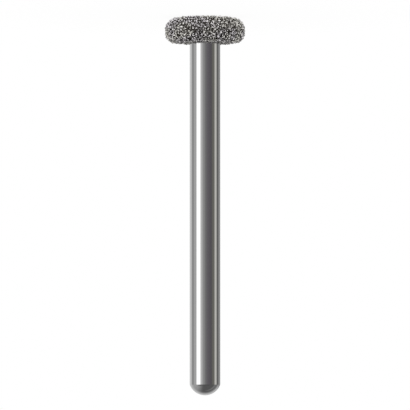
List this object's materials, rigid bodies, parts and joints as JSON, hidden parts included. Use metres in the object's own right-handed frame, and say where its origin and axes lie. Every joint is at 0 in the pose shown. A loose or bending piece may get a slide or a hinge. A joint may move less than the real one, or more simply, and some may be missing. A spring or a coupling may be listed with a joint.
{
  "type": "dental bur",
  "caption": "Rotary dental bur with a plain cylindrical steel shank, a rounded shank end and a wheel-shaped head plated with coarse diamond grit.",
  "frame": {"origin": "middle of the wheel's flat working face, level with the grain tips that the bur stands on", "axes": "+Z along the shank's axis, from the working face to the rounded end; +X and +Y across the wheel, which is round"},
  "size_m": [0.0042, 0.0042, 0.0199],
  "materials": {
    "steel": "ground and polished bright",
    "diamond_grit": "diamond grains in nickel plate, rough and glittering"
  },
  "bodies": {
    "root": {"steel_blank": "steel", "diamond_layer": "diamond_grit"}
  },
  "joints": []
}
